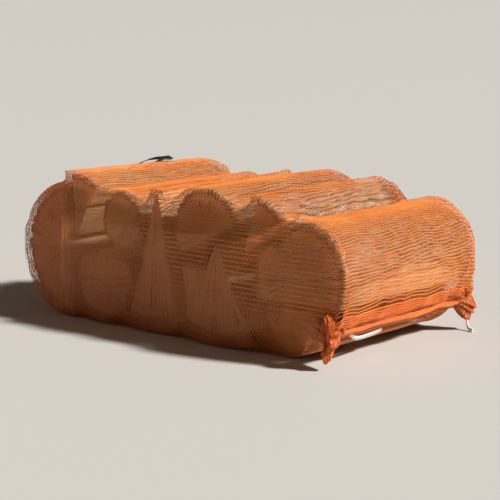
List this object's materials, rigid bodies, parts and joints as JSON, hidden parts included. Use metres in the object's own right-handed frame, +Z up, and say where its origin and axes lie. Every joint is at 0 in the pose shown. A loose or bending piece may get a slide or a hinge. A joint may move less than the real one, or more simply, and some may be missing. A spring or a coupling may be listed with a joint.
{
  "type": "firewood bundle",
  "caption": "Knitted net bag of split firewood logs lying side by side, sewn shut at one end and drawn shut with a tape at the other.",
  "frame": {"origin": "on the surface that the bag lies on, under the middle of its box", "axes": "+X along the bag from its drawn mouth to its sewn seam, +Y along the logs, +Z up"},
  "size_m": [0.5626, 0.279, 0.1878],
  "materials": {
    "bark_wood": "split and sawn birch and beech with rough bark",
    "net": "glossy orange knitted polyethylene net",
    "tape": "glossy black flat tape",
    "thread": "off-white sewing thread"
  },
  "bodies": {
    "root": {"log_half_mouth": "bark_wood", "log_quarter_mouth": "bark_wood", "log_half_low": "bark_wood", "log_branch": "bark_wood", "log_wedge_tall": "bark_wood", "log_half_top": "bark_wood", "log_wedge_thin": "bark_wood", "log_wedge_front": "bark_wood", "log_wedge_top": "bark_wood", "log_corner_top": "bark_wood", "log_corner_low": "bark_wood", "net_bag": "net", "drawstring_knot": "tape", "drawstring_loop": "tape", "seam_thread": "thread", "thread_tail_front": "thread", "thread_tail_back": "thread"}
  },
  "joints": []
}
